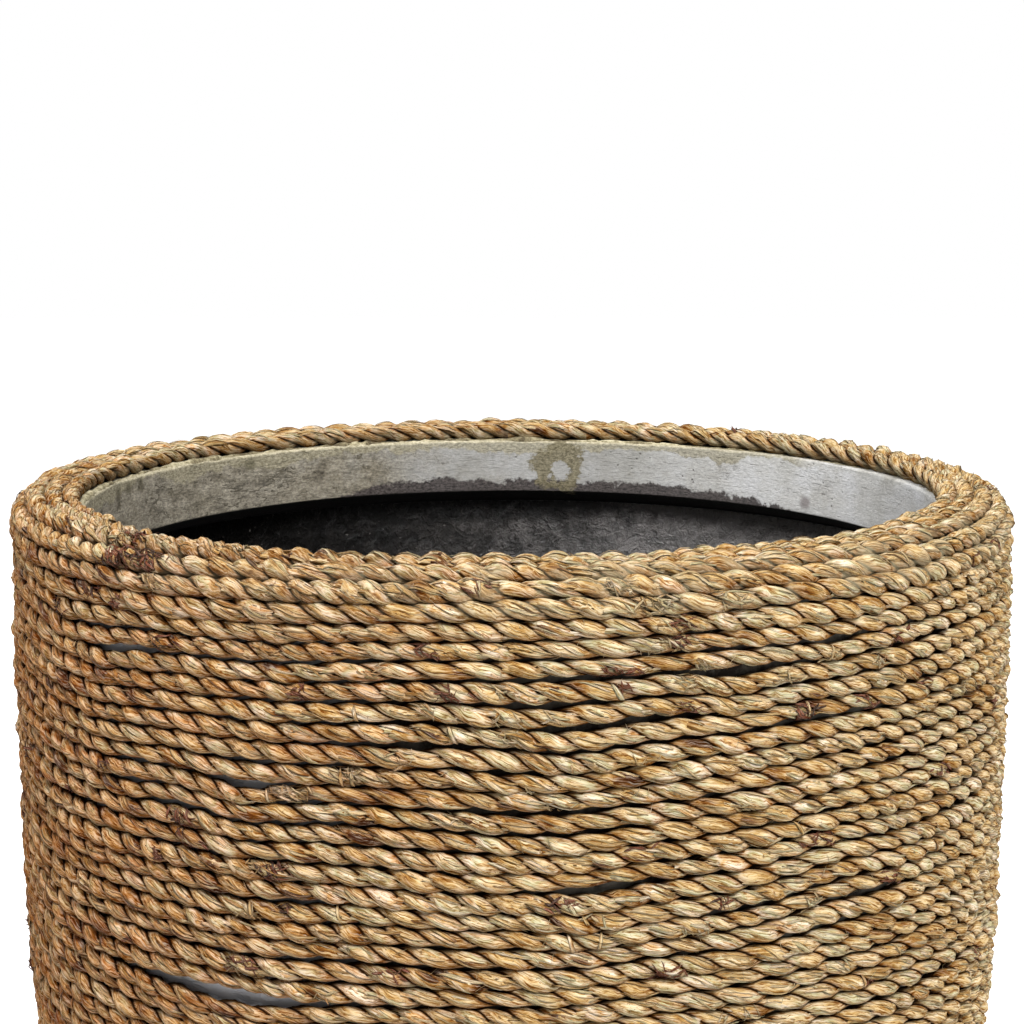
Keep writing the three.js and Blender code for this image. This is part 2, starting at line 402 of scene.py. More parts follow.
# %% Seagrass rope material
TWIST_MM = 27.0  # one full turn of the two plies
PLY_ARC_MM = 7.0  # round the open side of one ply
BLADES = 3.0  # leaves side by side on a ply
BLADE_LEAN = 1.1  # how far back over the ply a leaf moves in one twist


def seagrass_rope():
    """Two-ply rope of dried sedge, with leaves that run nearly along the rope."""
    material, add = new_tree(bpy.data.materials, "dry_seagrass_twisted_rope")
    uv = add("UVMap", uv_map="UVMap")
    u = add("SeparateXYZ", uv)
    v = add("SeparateXYZ", uv, out=1)
    twice = add("MULTIPLY", v, 2)
    ply = add("FLOOR", twice)
    across = add("FRACT", twice)
    turned = add("SUBTRACT", add("MULTIPLY_ADD", ply, 0.5, 0.25), u)
    lobe = add("ROUND", turned)
    along = add("SUBTRACT", turned, lobe)
    random = add("TexWhiteNoise", add("CombineXYZ", lobe, ply, 0), out=1)
    tint = add("SeparateColor", random)
    slant = add("SeparateColor", random, out=1)

    # The number of the leaf, counted over the ply along slanting, slightly wavy lines.
    wander = add("CombineXYZ", add("MULTIPLY", turned, 4), across, ply)
    wander = add("TexNoise", wander, Scale=1, Detail=2)
    lean = add("MULTIPLY_ADD", slant, 1.6, BLADES * BLADE_LEAN - 0.8)
    blade_place = add("MULTIPLY_ADD", along, lean, wander)
    blade_place = add("MULTIPLY_ADD", across, BLADES, blade_place)
    blade_place = add("MULTIPLY_ADD", tint, 5, blade_place)
    blade = add("FLOOR", blade_place)
    in_blade = add("FRACT", blade_place)
    random = add("CombineXYZ", lobe, add("MULTIPLY_ADD", blade, 2, ply), 7)
    random = add("TexWhiteNoise", random, out=1)
    own = add("SeparateColor", random)
    gap = add("SeparateColor", random, out=1)
    choice = add("MULTIPLY_ADD", own, 0.4, add("MULTIPLY", tint, 0.6))

    # Painted shade: thin dark lines between the leaves.
    off_middle = add("ABSOLUTE", add("SUBTRACT", in_blade, 0.5))
    border = add("MapRange", off_middle, 0.45, 0.5, 0, 1, **SOFT)
    border = add("MULTIPLY", border, gap)
    # Painted shade: nearly black in the crease between the plies, browner towards it, and dark on the
    # sides that face the next rows.
    crest = add("ABSOLUTE", add("SUBTRACT", across, 0.5))
    crease = add("MapRange", crest, 0.385, 0.475, 0, 0.98, **SOFT)
    edge = add("MapRange", crest, 0.2, 0.46, 0, 0.85)
    facing = add("MULTIPLY", add("SUBTRACT", v, u), 2 * math.pi)
    outward = add("COSINE", facing)
    gap_shade = add("MapRange", outward, 0.35, -0.1, 0, 0.9, **SOFT)
    # Painted shade: the lower side of a row and its flanks are browner.
    underside_shade = add("MapRange", add("SINE", facing), -0.1, 0.9, 0, 0.7)
    flank_shade = add("MapRange", outward, 0.85, 0.35, 0, 0.3)
    edge = add("MAXIMUM", edge, add("MAXIMUM", underside_shade, flank_shade))
    # Less of the painted shade on the sides of the innermost row towards the mouth.
    inmost = MOUTH_RADIUS + BARE_EDGE + ROPE_SEAT
    ring = from_axis(add, add("TexCoord", out=3))
    ring = add("MapRange", ring, inmost - MM, inmost + MM, 0.2, 1)
    # The painted shade in the creases and between the rows, in one mask.
    deep_shade = add("MAXIMUM", crease, add("MULTIPLY", gap_shade, ring))

    fibres = add(
        "CombineXYZ",
        add("MULTIPLY", along, TWIST_MM / 6),
        add("MULTIPLY", blade_place, PLY_ARC_MM / BLADES / 0.5),
        add("MULTIPLY_ADD", lobe, 3.7, ply),
    )
    hump = add("SINE", add("MULTIPLY", in_blade, math.pi))
    dry_sedge(add, choice, fibres, border, edge, deep_shade, (hump, 0.2))
    return material


rope_material = seagrass_rope()

# %% [markdown]
# ## Loose leaves
#
# Single leaves lie over the lobes. The whole part of their u is the leaf's number and the
# rest runs along it, and v goes across, so each leaf has its own colour and straight ribs.

# %% Loose leaf material


def loose_leaf(name, lightest, darkest, shift=0.28, tint="#ffffff"):
    """A single dried leaf: ribbed along its length, with painted shade along its edges and at its tucked
    ends.
    """
    material, add = new_tree(bpy.data.materials, name)
    uv = add("UVMap", uv_map="UVMap")
    u = add("SeparateXYZ", uv)
    v = add("SeparateXYZ", uv, out=1)
    number = add("FLOOR", u)
    along = add("FRACT", u)
    random = add("TexWhiteNoise", add("CombineXYZ", number, 3, 1))
    choice = add("MapRange", random, 0, 1, darkest, lightest)
    scaled = [add("MULTIPLY", way, scale) for way, scale in ((along, 2.4), (v, 7), (number, 3.7))]
    fibres = add("CombineXYZ", *scaled)
    # Painted shade: darker along the leaf's sides, and browner to nearly black at its tips, which tuck
    # under the next leaves.
    off_middle = add("ABSOLUTE", add("SUBTRACT", v, 0.5))
    border = add("MapRange", off_middle, 0.4, 0.5, 0, 0.3)
    off_centre = add("ABSOLUTE", add("SUBTRACT", along, 0.5))
    deep_shade = add("MapRange", off_centre, 0.34, 0.5, 0, 0.7, **SOFT)
    edge = add("MapRange", off_centre, 0.25, 0.48, 0, 0.6)
    fold = add("SINE", add("MULTIPLY", v, 9))
    dry_sedge(add, choice, fibres, border, edge, deep_shade, (fold, 0.12), shift, tint)
    return material


leaf_material = loose_leaf("dry_sedge_leaf", 1.0, 0.05)
print("sedge materials made")

# %% [markdown]
# ## The line that the rope follows
#
# Seen in section, the middle of the rope runs out over the lip, turns over the round edge,
# goes straight down and then follows the curve of the wall. The rope is laid along this
# line by one pitch a turn. Real rows wander: a thick length pushes the next rows down, and
# here and there a gap opens.

# %% The winding
start_radius = MOUTH_RADIUS + BARE_EDGE + ROPE_SEAT - 0.3 * MM
lip_length = POT_RADIUS - ROPE_CORNER - start_radius
corner_bend = ROPE_CORNER + ROPE_SEAT
corner_length = corner_bend * math.pi / 2
curve_bend = CURVE_RADIUS + ROPE_SEAT


def rope_line(distance):
    """Radius, height and lean of the rope's middle, at a distance along its line.

    The line is a flat run, a quarter circle, a straight run down and a wide arc, one after
    the other. The lean is the angle of the way out of the cement above the horizontal."""
    flat = np.minimum(distance, lip_length)
    bend = np.pi / 2 - np.clip(distance - lip_length, 0, corner_length) / corner_bend
    past = distance - lip_length - corner_length
    down = np.clip(past, 0, STRAIGHT_WALL - ROPE_CORNER)
    curve = -np.maximum(past - (STRAIGHT_WALL - ROPE_CORNER), 0) / curve_bend
    radius = start_radius + flat + corner_bend * np.cos(bend) + curve_bend * (np.cos(curve) - 1)
    fall = corner_bend * (1 - np.sin(bend)) + down - curve_bend * np.sin(curve)
    return radius, POT_HEIGHT + ROPE_SEAT - fall, bend + curve


ROWS = math.ceil(ALL_TURNS) + 1
PLACES = 720  # round each turn
turn_grid = np.arange(ROWS * PLACES) / PLACES
row_grid = turn_grid.reshape(ROWS, PLACES)
jog = smooth_step(row_grid[0], 1 - JOG_SHARE, 1)
azimuth_grid = np.mod(START_AZIMUTH - 2 * np.pi * turn_grid + np.pi, 2 * np.pi) - np.pi


def on_picture(azimuth, radius, height):
    """Where a point falls in the photograph, in pixels right and down."""
    x = radius * np.sin(azimuth)
    away = CAMERA_DISTANCE - radius * np.cos(azimuth)
    fall = camera.location.z - height
    depth = away * math.cos(CAMERA_PITCH) + fall * math.sin(CAMERA_PITCH)
    below = fall * math.cos(CAMERA_PITCH) - away * math.sin(CAMERA_PITCH)
    focal = FOCAL_SHARE * PICTURE
    return PICTURE / 2 + focal * x / depth, PICTURE / 2 + focal * below / depth


def turn_at(x, y, laid):
    """The turn of the winding that the photograph shows in front at a pixel."""
    radius, height, lean = rope_line(laid)
    out = radius + ROPE_SEAT * np.cos(lean)
    up = height + ROPE_SEAT * np.sin(lean)
    across, down = on_picture(azimuth_grid, out, up)
    miss = np.hypot(across - x, down - y)
    miss[np.abs(azimuth_grid) > math.radians(84)] = np.inf  # hidden behind the planter's side
    return turn_grid[np.argmin(miss)]


# Thick and thin stretches of rope, as a share of its girth, and the room that a row leaves
# to the one above it.
girth_grid = 0.07 * drift(turn_grid, 0.13, 11) + 0.09 * drift(turn_grid, 0.037, 10)
gape = np.clip(drift(turn_grid, 0.055, 12) - 0.6, 0, 1) * 5 * MM
room = (PITCH * girth_grid + gape - gape.mean()).reshape(ROWS, PLACES)
room *= smooth_step(row_grid, 2.6, 4.5) * smooth_step(row_grid, ALL_TURNS, ALL_TURNS - 5)
# Rows are pulled together where they go over the corner.
room -= 0.7 * MM * smooth_step(row_grid, 2.4, 3.2) * smooth_step(row_grid, 5.4, 4.6)

# Gaps that the photograph shows: pixel, half width in pixels, opening in mm. The row above a
# gap has its middle half a row higher.
HALF_ROW_PIXELS = 10
PIXEL = 0.38 * MM  # on the front of the wall
GAPS = [
    (232, 782, 34, 2.6), (120, 772, 26, 1.6), (212, 989, 132, 4.8), (742, 676, 40, 2.8),
    (505, 770, 26, 1.5), (604, 887, 46, 1.8), (405, 748, 30, 1.3), (842, 652, 30, 1.6),
    (880, 905, 40, 1.4),
]
plain_laid = (PITCH * (np.arange(ROWS)[:, None] + jog)).ravel()
for x, y, half_width, opening in GAPS:
    middle = turn_at(x, y - HALF_ROW_PIXELS, plain_laid)
    half_turn = half_width * PIXEL / (2 * np.pi * POT_RADIUS)
    off = np.mod(row_grid - middle + 0.5, 1) - 0.5
    same_row = opening * np.exp(-((off / half_turn) ** 2))
    below = np.rint(row_grid - middle - off)
    room += MM * same_row * ((below == 1) * 1.0 - ((below >= 2) & (below <= 6)) * 0.2)
    girth_grid -= 0.025 * (same_row * ((below == 0) | (below == 1))).ravel()
# At the right of the back the innermost row lies closer to the mouth.
shift = np.zeros((ROWS, PLACES))
first_azimuth = np.degrees(azimuth_grid[:PLACES])
shift[0] = -2.7 * MM * smooth_step(first_azimuth, 160, 130) * smooth_step(first_azimuth, 35, 65)
SHIFT_SHARE = 0.92  # of a row's shift that the next row takes on
for row in range(1, ROWS):
    shift[row] = SHIFT_SHARE * shift[row - 1] + room[row]
laid_grid = plain_laid + shift.ravel()

line_radius = rope_line(laid_grid)[0]
step_lengths = np.pi * (line_radius[1:] + line_radius[:-1]) / PLACES
length_grid = np.concatenate([[0], np.cumsum(step_lengths)])
# The twist is a little loose here and tight there. A ply also lies flat along the crown of
# the rope and dives quickly under its neighbour: slowed by REST where a ply faces out.
REST = -0.34
loose = 1 + 0.26 * drift(length_grid[1:], 0.035, 13)
# The rows on the lip are twisted tighter, but not at the back.
behind = smooth_step(-np.cos(azimuth_grid[1:]), -0.1, 0.5)
loose *= np.interp(turn_grid[1:], [0, 3, 5], [0.76, 0.78, 1.0])
loose *= 1 + 0.4 * behind * (turn_grid[1:] < 3)
twist_grid = np.concatenate([[0], np.cumsum(np.diff(length_grid) / (TWIST_MM * MM * loose))])


def length_at(turn):
    """The length of rope laid by a turn."""
    return np.interp(turn, turn_grid, length_grid)


def twist_at(length):
    """How many times the plies have turned after a length of rope."""
    even = np.interp(length, length_grid, twist_grid)
    return even - REST / (4 * np.pi) * np.sin(4 * np.pi * even)


print("rope length", round(float(length_at(ALL_TURNS)), 1), "m")

# %% [markdown]
# ## The twisted rope
#
# In section a two-ply rope is two circles side by side, flattened where they press together.
# Its outline is a star with two rounded points that turns as the rope goes on. So the rope
# is one surface with two parameters: the turn of the winding, and the angle round the rope
# counted from the crease between the plies, which keeps the creases sharp.

# %% Rope surface
HALF_WIDTH = 4.15 * MM
PLY_OFFSET_SHARE = 0.33  # of the half width, from the rope's middle to a ply's
HALF_ROOM = 4.1 * MM  # beside the rope, to the next row
SIDES = 16

LOBES = 8192  # random values, used again from the first after the last
lobe_values = np.random.default_rng(21).uniform(-1, 1, (2, LOBES))


def rope_radius(length, around):
    """How far the rope's surface lies from its middle.

    For a ply of radius p whose middle lies c away, a ray at an angle d to it leaves it at
    c cos d + root of (p p - c c sin d sin d). Each lobe is a little fatter or thinner, and
    swells by the cosine of twice its turn towards its middle."""
    around = np.mod(around, 2 * np.pi)
    ply = (around >= np.pi).astype(int)
    angle = around - np.pi * ply - np.pi / 2
    ply_turn = 0.5 * ply + 0.25 - twist_at(length)
    lobe = np.round(ply_turn)
    along = ply_turn - lobe
    fat = lobe_values[ply, lobe.astype(int) % LOBES] * (1 - smooth_step(np.abs(along), 0.3, 0.5))
    c = PLY_OFFSET_SHARE
    p = 1 - c
    radius = c * np.cos(angle) + np.sqrt(p * p - (c * np.sin(angle)) ** 2)
    thick = 1 + np.interp(length, length_grid, girth_grid) + 0.05 * drift(length, 0.021, 15) + 0.12 * fat
    thick += 0.05 * np.cos(4 * np.pi * along) + 0.08 * (1 - 2 * ply) * drift(length, 0.06, 17)
    ribs = 0.16 * MM * np.cos(3 * (angle + 3.4 * along) + 9 * fat)
    return HALF_WIDTH * radius * thick + ribs


# The rows on the lip stand taller than those on the wall, and the ones that go over the corner
# are pulled flat and wide. Shares by the turn.
RIM_PLUMP = 0.16
RIM_RAISE = 1.6 * MM
SHARE_TURNS = [0, 1, 2, 3, 4, 5, 6, 8, 10]
WIDE_SHARES = [0.4, 0.7, 1.0, 1.3, 1.2, 0.7, 0.2, 0.0, 0.0]
RAISE_SHARES = [0.6, 0.9, 1.0, 0.5, -0.1, -0.5, -0.6, -0.2, 0.0]


def rope_point(length, facing, lift, hug=1.0):
    """Points on the rope. facing is the angle round it from straight out of the cement
    towards the next row, and lift is the height over its surface. Where hug is under 1 the
    point lies part of the way out to a plain round rope, as a leaf that spans a crease does.
    Beside the rope there is only so much room: what goes past it is pressed back softly."""
    turns = np.interp(length, length_grid, turn_grid)
    radius, height, lean = rope_line(np.interp(turns, turn_grid, laid_grid))
    wide = RIM_PLUMP * np.interp(turns, SHARE_TURNS, WIDE_SHARES)
    raised = np.interp(turns, SHARE_TURNS, RAISE_SHARES)
    own = rope_radius(length, facing + 2 * np.pi * twist_at(length))
    reach = hug * own + (1 - hug) * HALF_WIDTH + lift
    out = reach * (1 + RIM_PLUMP * np.maximum(raised, 0)) * np.cos(facing) + RIM_RAISE * raised
    beside = reach * (1 + wide) * np.sin(facing)
    limit = HALF_ROOM * (1 + wide + np.interp(length, length_grid, girth_grid))
    free = 0.7 * limit
    over = np.maximum(np.abs(beside) - free, 0) / (limit - free)
    beside = np.sign(beside) * (np.minimum(np.abs(beside), free) + (limit - free) * np.tanh(over))
    azimuth = START_AZIMUTH - 2 * np.pi * turns
    ring = radius + out * np.cos(lean) + beside * np.sin(lean)
    up = height + out * np.sin(lean) - beside * np.cos(lean)
    return np.stack([ring * np.sin(azimuth), -ring * np.cos(azimuth), up], -1)


# Steps along the rope: short where the photograph looks, longer behind and low down.
FINE_STEP = 1.57 * MM
PLAIN_STEP = 3.6 * MM
FINE_TURNS = 31

in_view = 1 - smooth_step(np.abs(azimuth_grid), math.radians(88), math.radians(100))
in_view *= 1 - smooth_step(turn_grid, FINE_TURNS, FINE_TURNS + 1)
in_view = np.maximum(in_view, 1 - smooth_step(turn_grid, 2.5, 3.5))
step_grid = PLAIN_STEP + (FINE_STEP - PLAIN_STEP) * in_view
count_grid = np.concatenate([[0], np.cumsum(np.diff(length_grid) / step_grid[1:])])


def lay_rope(name, start, end, node):
    """One stretch of the rope, from a turn to a turn, as a closed tube."""
    first, last = np.interp([start, end], turn_grid, count_grid)
    rings = int(last - first) + 2
    length = np.interp(np.linspace(first, last, rings), count_grid, length_grid)
    around = np.linspace(0, 2 * np.pi, SIDES + 1)
    twists = twist_at(length)
    facing = around[None, :-1] - 2 * np.pi * twists[:, None]
    points = rope_point(np.broadcast_to(length[:, None], facing.shape), facing, 0.0)
    faces, uvs = tube_faces(rings, SIDES, twists[None, :], around / (2 * np.pi))
    make_piece(name, points.reshape(-1, 3), faces, uvs, rope_material, "straw", node)


lay_rope("rim_rope_laid", 0.001, RIM_TURNS, "rim_rope")
STRETCHES = [("upper", RIM_TURNS, UPPER_TURNS, 4), ("lower", UPPER_TURNS, ALL_TURNS, 5)]
for part, first, last, pieces in STRETCHES:
    for k in range(pieces):
        start, end = first + (last - first) * np.array([k, k + 1]) / pieces
        lay_rope(f"{part}_rope_laid_{k + 1}", start, end, f"{part}_wall_rope")

# %% [markdown]
# ## Sedge leaves on the rope
#
# Each lobe of the rope is wrapped in flat leaves, which run nearly along the rope, because
# a ply is spun one way and the rope the other. Their edges stand a little off the lobe. A
# leaf is a thin lens, carried along a short path on the rope's own surface: the path is
# given as a length of rope, an angle round it and a height over it, so no leaf can float.

# %% Leaves
ROPE_GIRTH_RADIUS = 3.9 * MM
TIP_TUCK = 0.8 * MM


def lay_leaves(name, length, facing, slope, reach, width, lift, curl, end_lift, material,
               hug=1.0, rings=7, sides=4):
    """Flat leaves on the rope, one for each entry of the arrays.

    slope is the angle of the path from the rope's own direction, reach and width are half
    sizes. The width follows a pointed lens: (1 - a a) to the power 0.8, for a from -1 to 1
    along the leaf. curl lowers one edge and raises the other, end_lift raises the far end
    by the square of the way there, and both tips are tucked in by the fourth power."""
    count = len(length)
    length, facing, slope, reach, width, lift, curl, end_lift = [
        np.broadcast_to(value, count)[:, None, None]
        for value in (length, facing, slope, reach, width, lift, curl, end_lift)
    ]
    a = np.linspace(-1, 1, rings)[:, None]
    section = np.arange(sides) * 2 * np.pi / sides
    b = np.cos(section)
    half = width * np.maximum((1 - a * a) ** 0.8, 0.07)
    place = length + reach * a * np.cos(slope) + b * half * np.sin(slope)
    angle = facing + (b * half * np.cos(slope) - reach * a * np.sin(slope)) / ROPE_GIRTH_RADIUS
    thin = np.minimum(0.3 * half, 0.15 * MM) * np.sin(section)
    tucked = TIP_TUCK * hug * a**4
    height = lift + thin + curl * b + end_lift * np.maximum(a + 0.2, 0) ** 2 - tucked
    points = rope_point(place, angle, height, hug)
    along = np.arange(count)[:, None] + 0.02 + 0.48 * (a[:, 0] + 1)
    around = (1 - np.cos(np.append(section, 0))) / 2
    faces, uvs = tube_faces(rings, sides, along, around)
    make_piece(name, points.reshape(-1, 3), faces, uvs, material, "straw")


leaf_rng = np.random.default_rng(41)
uniform, normal = leaf_rng.uniform, leaf_rng.normal
BARE_END = 0.02
rope_end = float(length_at(ALL_TURNS)) - BARE_END
lobe_places = np.interp(np.arange(0.25, twist_grid[-1], 0.5), twist_grid, length_grid)
lobe_places = lobe_places[(lobe_places > BARE_END) & (lobe_places < rope_end)]


def pick_lobes(share_front, share_rest):
    """Lengths of rope at which lobes face out, thinned at random. More are kept where the
    photograph looks than behind and low down."""
    seen = np.interp(lobe_places, length_grid, in_view)
    share = share_rest + (share_front - share_rest) * seen
    return lobe_places[uniform(0, 1, len(lobe_places)) < share]


# Name, shares kept in view and elsewhere, half length and half width in mm, lift in mm.
LEAF_LAYERS = [
    ("wide_leaves", 0.75, 0.4, (7.5, 12.0), (1.3, 2.2), (-0.2, 0.05)),
    ("middle_leaves", 0.9, 0.25, (6.0, 12.0), (0.7, 1.4), (-0.05, 0.25)),
    ("narrow_leaves", 0.9, 0.1, (5.0, 11.0), (0.3, 0.75), (0.05, 0.4)),
    ("thin_strands", 0.9, 0.0, (4.0, 11.0), (0.14, 0.32), (0.15, 0.5)),
]
for name, share_front, share_rest, reaches, widths, lifts in LEAF_LAYERS:
    places = pick_lobes(share_front, share_rest)
    count = len(places)
    lay_leaves(
        name,
        places + normal(0, 2.2, count) * MM,
        uniform(-1.0, 1.0, count),
        np.radians(normal(20, 7, count)),
        uniform(*reaches, count) * MM,
        uniform(*widths, count) * MM,
        uniform(*lifts, count) * MM,
        normal(0.08, 0.12, count) * MM,
        np.clip(normal(-0.2, 0.35, count), -0.3, 1.0) * MM,
        leaf_material,
    )

# %% [markdown]
# ## Frayed ends, wraps and fluff
#
# Where one bundle of leaves ends and the next is twisted in, short stubs stand up, often
# dark and red. Here and there a leaf is wound across the rope to hold a splice, and fine
# fibres stand off everywhere. The splices that the photograph shows are put at their
# pixels, and random ones cover the rest of the planter.

# %% Frayed ends
husk_material = loose_leaf("dark_sedge_husk", 0.9, 0.0, 0.15, "#a86c64")
pale_material = loose_leaf("pale_sedge_stub", 1.0, 0.4)

# Pixel, number of stubs, spread in mm, half length in mm.
DARK_FRAYS = [
    (118, 546, 46, 5.0, 3.4), (140, 540, 40, 4.0, 3.0), (150, 558, 34, 5.0, 3.4),
    (126, 560, 26, 5.0, 2.6), (427, 652, 12, 3.0, 3.0), (451, 694, 20, 4.0, 3.0),
    (622, 670, 22, 4.0, 2.6), (624, 684, 8, 2.0, 2.6), (687, 617, 12, 2.5, 2.4),
    (677, 641, 16, 2.5, 2.2), (695, 707, 10, 2.5, 2.4), (480, 587, 10, 3.0, 2.8),
    (810, 718, 22, 3.0, 3.4), (866, 702, 14, 3.0, 2.6), (180, 824, 22, 4.0, 3.0),
    (157, 860, 12, 2.5, 2.4), (273, 868, 22, 4.0, 3.2), (663, 965, 26, 3.5, 3.2),
    (820, 849, 18, 3.5, 2.8), (190, 842, 14, 4.0, 3.0), (237, 966, 20, 3.5, 3.0),
    (56, 604, 18, 4.0, 3.0), (86, 600, 14, 4.0, 3.0), (300, 689, 16, 3.5, 2.8),
    (160, 636, 16, 4.0, 2.8), (905, 640, 12, 3.0, 2.4), (940, 770, 12, 3.0, 2.4),
    (28, 922, 12, 3.0, 3.2), (40, 975, 14, 3.0, 3.0), (560, 905, 12, 3.0, 2.4),
    (893, 886, 14, 3.0, 2.6), (720, 905, 10, 2.5, 2.4), (395, 985, 12, 3.0, 2.6),
]
PALE_FRAYS = [
    (657, 600, 34, 4.5, 3.6), (283, 792, 30, 5.0, 4.4), (347, 777, 34, 4.5, 3.4),
    (502, 690, 10, 2.5, 2.6), (512, 714, 12, 3.0, 3.0), (555, 730, 5, 1.5, 2.6),
    (707, 670, 20, 2.4, 2.4), (777, 674, 4, 1.2, 2.0), (789, 671, 4, 1.2, 2.4),
    (835, 661, 8, 2.5, 3.0), (252, 903, 14, 3.0, 3.0), (240, 958, 26, 4.0, 3.4),
    (83, 948, 14, 3.0, 3.4), (322, 997, 10, 2.5, 2.8), (585, 930, 12, 3.0, 2.8),
    (128, 538, 16, 5.0, 3.0), (735, 590, 12, 3.5, 3.0), (695, 690, 14, 3.5, 3.4),
    (505, 742, 10, 3.0, 2.6), (880, 660, 12, 3.0, 2.8), (945, 585, 14, 3.5, 2.8),
    (400, 757, 10, 3.0, 2.8), (812, 905, 12, 3.0, 2.6), (965, 690, 12, 3.0, 2.6),
]


def fray(name, places, random_places, material):
    """Bundles of short stubs that start together, lie roughly along the rope and stand up a
    little. A place is a length of rope, an angle round it, a number of stubs, a spread and a
    half length."""
    spots = []
    for x, y, stubs, spread, reach in places:
        length = length_at(turn_at(x, y, laid_grid))
        spots.append((length, uniform(-0.5, 0.5), stubs, spread, reach))
    for length in uniform(0.5, rope_end, random_places):
        spots.append((length, uniform(-0.8, 0.8), leaf_rng.integers(4, 14),
                      uniform(1, 4), uniform(2, 3.2)))
    spots = np.array(spots)
    stubs = np.repeat(spots, spots[:, 2].astype(int), axis=0)
    count = len(stubs)
    length, angle, spread, reach = stubs[:, [0, 1, 3, 4]].T
    lay_leaves(
        name,
        length + normal(0, 1, count) * spread * MM,
        angle + normal(0, 0.16, count) * spread,
        np.radians(normal(20, 34, count)) + np.pi * leaf_rng.integers(0, 2, count),
        reach * uniform(0.6, 1.4, count) * MM,
        uniform(0.15, 0.6, count) * MM,
        uniform(0.0, 0.5, count) * MM,
        normal(0, 0.15, count) * MM,
        np.abs(normal(0.3, 0.7, count)) * MM,
        material, hug=0.6, rings=6,
    )


fray("dark_frayed_ends", DARK_FRAYS, 90, husk_material)
fray("pale_frayed_ends", PALE_FRAYS, 110, pale_material)

# Wraps: leaves wound across the rope at splices.
WRAPS = [(810, 716), (814, 721), (338, 920), (252, 903), (340, 773), (352, 778), (575, 905),
         (598, 940), (620, 690), (480, 590), (118, 552), (835, 655), (265, 795)]
MORE_WRAPS = 60
spots = [length_at(turn_at(x, y, laid_grid)) for x, y in WRAPS]
spots = np.append(spots, uniform(0.5, rope_end, MORE_WRAPS))
count = len(spots)
lay_leaves(
    "leaf_wraps",
    spots,
    uniform(-0.3, 0.3, count),
    np.radians(normal(75, 12, count)),
    uniform(4.0, 6.0, count) * MM,
    uniform(0.5, 1.2, count) * MM,
    0.35 * MM, 0.0, 0.0, leaf_material, hug=0.5, rings=9,
)

# Fluff: fibres a fifth to a third of a millimetre thick.
FIBRES = 2200
lay_leaves(
    "loose_fibres",
    uniform(0.1, 1, FIBRES) * rope_end * np.where(uniform(0, 1, FIBRES) < 0.5, 1, 0.55),
    uniform(-1.2, 1.2, FIBRES),
    uniform(-np.pi, np.pi, FIBRES),
    uniform(1.5, 4.5, FIBRES) * MM,
    uniform(0.08, 0.16, FIBRES) * MM,
    0.1 * MM, 0.0,
    uniform(0.2, 1.8, FIBRES) * MM,
    pale_material, hug=0.5, rings=6,
)

# %% [markdown]
# ## Cement
#
# The pot is cast from cement and glass fibre and rubbed down by hand. Its lip shows fine
# level scratches, pinholes and water stains. The surface's u runs round the pot and its v
# along the outline, both in metres, so scratches can be drawn out along u.

# %% Cement material
LIP_BOTTOM = POT_HEIGHT - LIP_HEIGHT
STAIN_RIGHT = 29 * MM
STAIN_HEIGHT = POT_HEIGHT - 15 * MM
STAIN_RADIUS = 13 * MM
SPOTS = (
    ((0.162, 0.12, POT_HEIGHT - 24 * MM), "#6d6160"),
    ((-0.1985, 0.0347, POT_HEIGHT - 6 * MM), "#453f2d"),
    ((-0.196, 0.0468, POT_HEIGHT - 5 * MM), "#453f2d"),
    ((-0.1925, 0.0596, POT_HEIGHT - 5 * MM), "#453f2d"),
    ((-0.147, 0.1378, POT_HEIGHT - 5 * MM), "#57523f"),
)
# Patterns in space: cells in a metre, detail and roughness.
CEMENT_PATTERNS = [(30, 6, 0.65), (26, 7, 0.68), (85, 6, 0.7), (130, 4, 0.6), (45, 2, 0.5), (9, 1, 0.5)]
# Patterns drawn out on the surface: cells in a metre round the pot and down, turn, detail
# and roughness.
DRAWN_OUT = [(70, 160, 0.0, 5, 0.7), (380, 760, 0.0, 5, 0.75), (28, 120, 0.15, 4, 0.6),
             (60, 1500, 0.0, 3, 0.6), (90, 1100, 0.5, 3, 0.6)]


